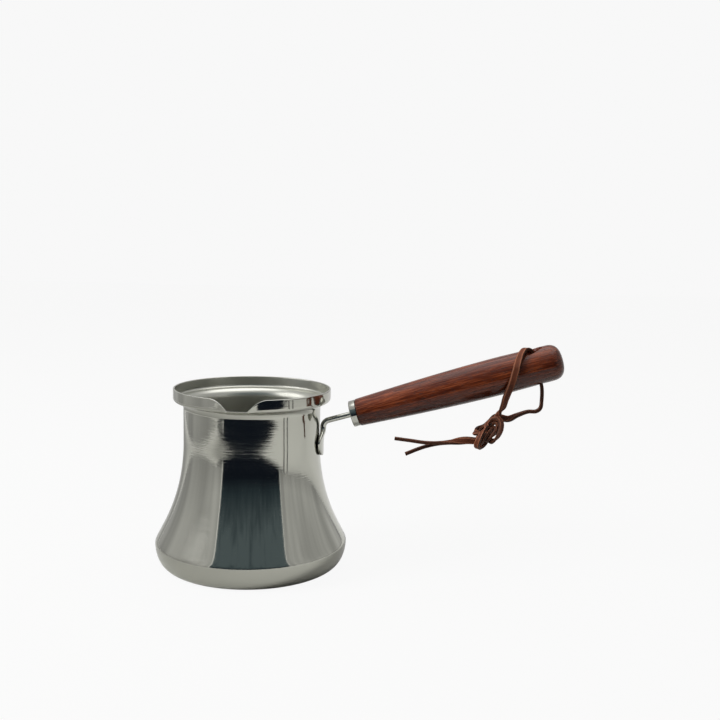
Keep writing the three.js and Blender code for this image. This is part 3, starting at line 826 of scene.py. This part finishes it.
hide_shader = add_node(leather, "ShaderNodeBsdfPrincipled",
                       {"Base Color": hide_colour, "Roughness": hide_gloss.outputs["Result"],
                        "Specular IOR Level": 0.22, "Normal": pebble_bump.outputs["Normal"]})
add_node(leather, "ShaderNodeOutputMaterial", {"Surface": hide_shader.outputs["BSDF"]})

for strap, node, path, length, side in ((upper_lace, "lace_upper", upper_path, UPPER_LENGTH, 1),
                                        (lower_lace, "lace_lower", lower_path, LOWER_LENGTH, -1)):
    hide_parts(node)
    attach(strap, "lace")

# Studio
# A white table in a light tent of pale cloth. The tent's front is open towards the camera, and
# the dim room beyond the opening is what the steel mirrors darkly in its middle.
TABLE_REACH = 3000
TENT_FRONT = -345
TENT_BACK = 700
TENT_LEFT = -338
TENT_RIGHT = 700
TENT_TOP = 900
OPENING_LEFT = -258
OPENING_RIGHT = 482
OPENING_TOP = 420
HEM_WIDTH = 10
FLOOR_FRONT = -307
FLOOR_LIFT = 0.4
SEAM_TURNS = (61, 67)
SEAM_WIDTH_TURN = 1.8
SEAM_START = 250
SEAM_END = 700
SEAM_LIFT = 0.6
ROOM_BACK = -1500
ROOM_FOOT = -100
ROOM_REACH = 3000


def sheet_of(name, corners):
    """One flat stage sheet with the given corners in millimetres."""
    mesh = bpy.data.meshes.new(name)
    mesh.from_pydata([Vector(corner) * METRE for corner in corners], [], [tuple(range(len(corners)))])
    piece = bpy.data.objects.new(name, mesh)
    bpy.context.collection.objects.link(piece)
    return piece


def ground(name, left, right, front, back, height):
    return sheet_of(name, [(left, front, height), (right, front, height),
                           (right, back, height), (left, back, height)])


def wall(name, start, end, low, high):
    return sheet_of(name, [(*start, low), (*end, low), (*end, high), (*start, high)])


def seen_white(tree):
    """1 for rays from the camera and for rays that mirrors and glass pass on, otherwise 0."""
    path = add_node(tree, "ShaderNodeLightPath").outputs
    either = add_node(tree, "ShaderNodeMath", {0: path["Is Camera Ray"], 1: path["Is Glossy Ray"]},
                      operation="MAXIMUM")
    return add_node(tree, "ShaderNodeMath", {0: either.outputs[0], 1: path["Is Transmission Ray"]},
                    operation="MAXIMUM").outputs[0]


# White laminate, overexposed as a bright table is: nearly even white that still takes a soft shadow.
TABLE_COLOUR = "#6A6A68"
TABLE_GLOW = 1.185
TABLE_WHITE_SHARE = 0.78
white = linear("#FFFFFF")
table = ground("white_table", -TABLE_REACH, TABLE_REACH, -TABLE_REACH, TABLE_REACH, 0)
table_paint = new_material("white_laminate", table)
table_share = add_node(table_paint, "ShaderNodeMath",
                       {0: seen_white(table_paint), 1: TABLE_WHITE_SHARE}, operation="MULTIPLY")
table_matte = add_node(table_paint, "ShaderNodeBsdfDiffuse", {"Color": linear(TABLE_COLOUR)})
table_white = add_node(table_paint, "ShaderNodeEmission", {"Color": white, "Strength": TABLE_GLOW})
table_mix = add_node(table_paint, "ShaderNodeMixShader",
                     {0: table_share.outputs[0], 1: table_matte.outputs[0], 2: table_white.outputs[0]})
add_node(table_paint, "ShaderNodeOutputMaterial", {"Surface": table_mix.outputs[0]})

# The backdrop looks as white as the table, but lights the pot only dimly.
BACKDROP_SEEN = 0.938
BACKDROP_LIGHT = 0.28
world = bpy.data.worlds.new("studio")
world.use_nodes = True
backdrop = world.node_tree
backdrop.nodes.clear()
bpy.context.scene.world = world
backdrop_level = add_node(backdrop, "ShaderNodeMapRange",
                          {"Value": seen_white(backdrop), "To Min": BACKDROP_LIGHT,
                           "To Max": BACKDROP_SEEN})
backdrop_light = add_node(backdrop, "ShaderNodeBackground",
                          {"Color": white, "Strength": backdrop_level.outputs["Result"]})
add_node(backdrop, "ShaderNodeOutputWorld", {"Surface": backdrop_light.outputs[0]})

# The tent and the room are only there to be mirrored, so neither the camera nor soft light sees them.
front_left, front_right = (TENT_LEFT, TENT_FRONT), (TENT_RIGHT, TENT_FRONT)
back_left, back_right = (TENT_LEFT, TENT_BACK), (TENT_RIGHT, TENT_BACK)
open_left, open_right = (OPENING_LEFT, TENT_FRONT), (OPENING_RIGHT, TENT_FRONT)
hem_left, hem_right = (OPENING_LEFT + HEM_WIDTH, TENT_FRONT), (OPENING_RIGHT - HEM_WIDTH, TENT_FRONT)
cloths = [
    wall("tent_left", front_left, back_left, 0, TENT_TOP),
    wall("tent_right", front_right, back_right, 0, TENT_TOP),
    wall("tent_back", back_left, back_right, 0, TENT_TOP),
    wall("tent_front_left", front_left, open_left, 0, TENT_TOP),
    wall("tent_front_right", open_right, front_right, 0, TENT_TOP),
    wall("tent_front_top", open_left, open_right, OPENING_TOP, TENT_TOP),
]
hems = [wall("hem_left", open_left, hem_left, 0, OPENING_TOP),
        wall("hem_right", hem_right, open_right, 0, OPENING_TOP)]
seams = []
for turn in SEAM_TURNS:
    near, far = radians(turn), radians(turn + SEAM_WIDTH_TURN)
    corners = []
    for angle, radius in ((near, SEAM_START), (far, SEAM_START), (far, SEAM_END), (near, SEAM_END)):
        corners.append((radius * sin(angle), -radius * cos(angle), SEAM_LIFT))
    seams.append(sheet_of("floor_seam", corners))
tent_floor = ground("tent_floor", TENT_LEFT, TENT_RIGHT, FLOOR_FRONT, TENT_BACK, FLOOR_LIFT)
rooms = [wall("room_back", (-ROOM_REACH, ROOM_BACK), (ROOM_REACH, ROOM_BACK), ROOM_FOOT, ROOM_REACH),
         ground("room_floor", -ROOM_REACH, ROOM_REACH, ROOM_BACK, FLOOR_FRONT, FLOOR_LIFT)]
for sheet in [*cloths, *hems, *seams, tent_floor, *rooms]:
    sheet.visible_camera = False
    sheet.visible_diffuse = False
    sheet.visible_shadow = False

# White nylon, hung and lit from outside: even light with soft upright folds, darker at its foot.
CLOTH_LEVELS = {"To Min": 0.5, "To Max": 0.74}
CLOTH_FOLD_MM = 130
CLOTH_FOLD_HEIGHT_MM = 650
CLOTH_FOOT_SHADE = 0.74
CLOTH_FOOT_MM = 80
cloth = new_material("white_nylon_cloth", *cloths)
place = add_node(cloth, "ShaderNodeTexCoord").outputs["Object"]
fold_scale = (PER_METRE / CLOTH_FOLD_MM, PER_METRE / CLOTH_FOLD_MM, PER_METRE / CLOTH_FOLD_HEIGHT_MM)
fold_space = add_node(cloth, "ShaderNodeVectorMath", {0: place, 1: fold_scale}, operation="MULTIPLY")
folds = add_node(cloth, "ShaderNodeTexNoise",
                 {"Vector": fold_space.outputs[0], "Scale": 1, "Detail": 2}).outputs["Fac"]
cloth_level = add_node(cloth, "ShaderNodeMapRange", {"Value": folds, **NOISE_SPAN, **CLOTH_LEVELS})
cloth_height = add_node(cloth, "ShaderNodeSeparateXYZ", {0: place}).outputs["Z"]
foot = add_node(cloth, "ShaderNodeMapRange",
                {"Value": cloth_height, "From Max": CLOTH_FOOT_MM * METRE, "To Min": CLOTH_FOOT_SHADE})
shaded = add_node(cloth, "ShaderNodeMath",
                  {0: cloth_level.outputs["Result"], 1: foot.outputs["Result"]}, operation="MULTIPLY")

# Woven tapes: the hems are doubled white and catch the light, the floor's seams are grey.
HEM_LEVEL = 1.3
SEAM_LEVEL = 0.12
hem_tape = new_material("white_hem_tape", *hems)
seam_tape = new_material("grey_seam_tape", *seams)

# White cotton on the floor: matt, with shade painted into its colour, darker towards the left and
# over soft folds, and lit along both of its sides. A glow has the places, from side to side, where
# it starts and is full, and its strength there.
FLOOR_DARK = "#8C8C8A"
FLOOR_LIGHT = "#FAFAF8"
FLOOR_SHADE_START = -220
FLOOR_SHADE_END = 120
FLOOR_FOLD_MM = 150
FLOOR_FOLD_SHARE = 0.25
RIGHT_GLOW = (40, 300, 0.22)
LEFT_GLOW = (-240, -335, 0.5)
floor_cloth = new_material("white_floor_cloth", tent_floor)
place = add_node(floor_cloth, "ShaderNodeTexCoord").outputs["Object"]
sideways = add_node(floor_cloth, "ShaderNodeSeparateXYZ", {0: place}).outputs["X"]
floor_noise = {"Vector": place, "Scale": PER_METRE / FLOOR_FOLD_MM, "Detail": 2}
floor_fold_shade = add_node(floor_cloth, "ShaderNodeTexNoise", floor_noise).outputs["Fac"]
# Painted shade: the floor's colour darkens towards the left, and the noise paints the shade of soft
# folds.
lit_side = add_node(floor_cloth, "ShaderNodeMapRange",
                    {"Value": sideways, "From Min": FLOOR_SHADE_START * METRE,
                     "From Max": FLOOR_SHADE_END * METRE}).outputs["Result"]
floor_share = add_node(floor_cloth, "ShaderNodeMix",
                       {"Factor": FLOOR_FOLD_SHARE, "A": lit_side, "B": floor_fold_shade})
floor_colour = add_node(floor_cloth, "ShaderNodeMix",
                        {"Factor": floor_share.outputs["Result"], "A": linear(FLOOR_DARK),
                         "B": linear(FLOOR_LIGHT)}, data_type="RGBA")
floor_matte = add_node(floor_cloth, "ShaderNodeBsdfDiffuse", {"Color": floor_colour.outputs["Result"]})
floor_light = floor_matte.outputs[0]
for start, end, level in (RIGHT_GLOW, LEFT_GLOW):
    glow_level = add_node(floor_cloth, "ShaderNodeMapRange",
                          {"Value": sideways, "From Min": start * METRE, "From Max": end * METRE,
                           "To Max": level})
    glow = add_node(floor_cloth, "ShaderNodeEmission", {"Strength": glow_level.outputs["Result"]})
    both = add_node(floor_cloth, "ShaderNodeAddShader", {0: floor_light, 1: glow.outputs[0]})
    floor_light = both.outputs[0]
add_node(floor_cloth, "ShaderNodeOutputMaterial", {"Surface": floor_light})

# A dim room: blue-grey, nearly black at the floor, with upright blurred shapes that get paler upwards.
ROOM_TONES = ((0, "#191F29"), (0.1, "#36434A"), (0.48, "#68757B"))
ROOM_SHAPES_PER_METRE = (9, 9, 2.5)
room = new_material("dim_room", *rooms)
place = add_node(room, "ShaderNodeTexCoord").outputs["Object"]
height = add_node(room, "ShaderNodeSeparateXYZ", {0: place}).outputs["Z"]
room_space = add_node(room, "ShaderNodeVectorMath", {0: place, 1: ROOM_SHAPES_PER_METRE},
                      operation="MULTIPLY")
room_shapes = add_node(room, "ShaderNodeTexNoise",
                       {"Vector": room_space.outputs[0], "Scale": 1, "Detail": 3}).outputs["Fac"]
uneven = add_node(room, "ShaderNodeMath", {0: room_shapes, 1: height}, operation="MULTIPLY")
room_tones = add_node(room, "ShaderNodeValToRGB", {"Fac": uneven.outputs[0]})
ramp = room_tones.color_ramp.elements
ramp.new(ROOM_TONES[1][0])
for element, (stop, colour) in zip(ramp, ROOM_TONES):
    element.position = stop
    element.color = linear(colour)

# The cloth walls, the tapes and the room are seen as plain light.
for tree, colour, level in ((cloth, white, shaded.outputs[0]), (hem_tape, white, HEM_LEVEL),
                            (seam_tape, white, SEAM_LEVEL), (room, room_tones.outputs["Color"], 1)):
    glow = add_node(tree, "ShaderNodeEmission", {"Color": colour, "Strength": level})
    add_node(tree, "ShaderNodeOutputMaterial", {"Surface": glow.outputs[0]})

# Two softboxes, in metres and watts: one over the pot and one outside the tent's left wall
TOP_SOFTBOX = {"where": (0.1, 0.1, 0.9), "size": 0.85, "power": 3.4}
LEFT_SOFTBOX = {"where": (-1, -0.45, 0.62), "size": 0.5, "power": 17}
LAMPS_AIM = Vector((0.05, 0, 0.06))
for name, facts in (("top_softbox", TOP_SOFTBOX), ("left_softbox", LEFT_SOFTBOX)):
    lamp = bpy.data.lights.new(name, "AREA")
    lamp.shape = "SQUARE"
    lamp.size = facts["size"]
    lamp.energy = facts["power"]
    softbox = bpy.data.objects.new(name, lamp)
    softbox.location = facts["where"]
    softbox.rotation_euler = (LAMPS_AIM - softbox.location).to_track_quat("-Z", "Y").to_euler()
    bpy.context.collection.objects.link(softbox)

# Camera, placed in metres and turned as the photograph was taken
CAMERA_PLACE = (0.0947, -0.5111, 0.1806)
CAMERA_TURN = (radians(82.755), radians(-1.187), radians(4.142))
CAMERA_LENS_MM = 47.4
CAMERA_SENSOR_MM = 36
camera_data = bpy.data.cameras.new("camera")
camera_data.lens = CAMERA_LENS_MM
camera_data.sensor_width = CAMERA_SENSOR_MM
camera = bpy.data.objects.new("camera", camera_data)
camera.location = CAMERA_PLACE
camera.rotation_euler = CAMERA_TURN
bpy.context.collection.objects.link(camera)
bpy.context.scene.camera = camera
bpy.context.scene.view_settings.view_transform = "Standard"
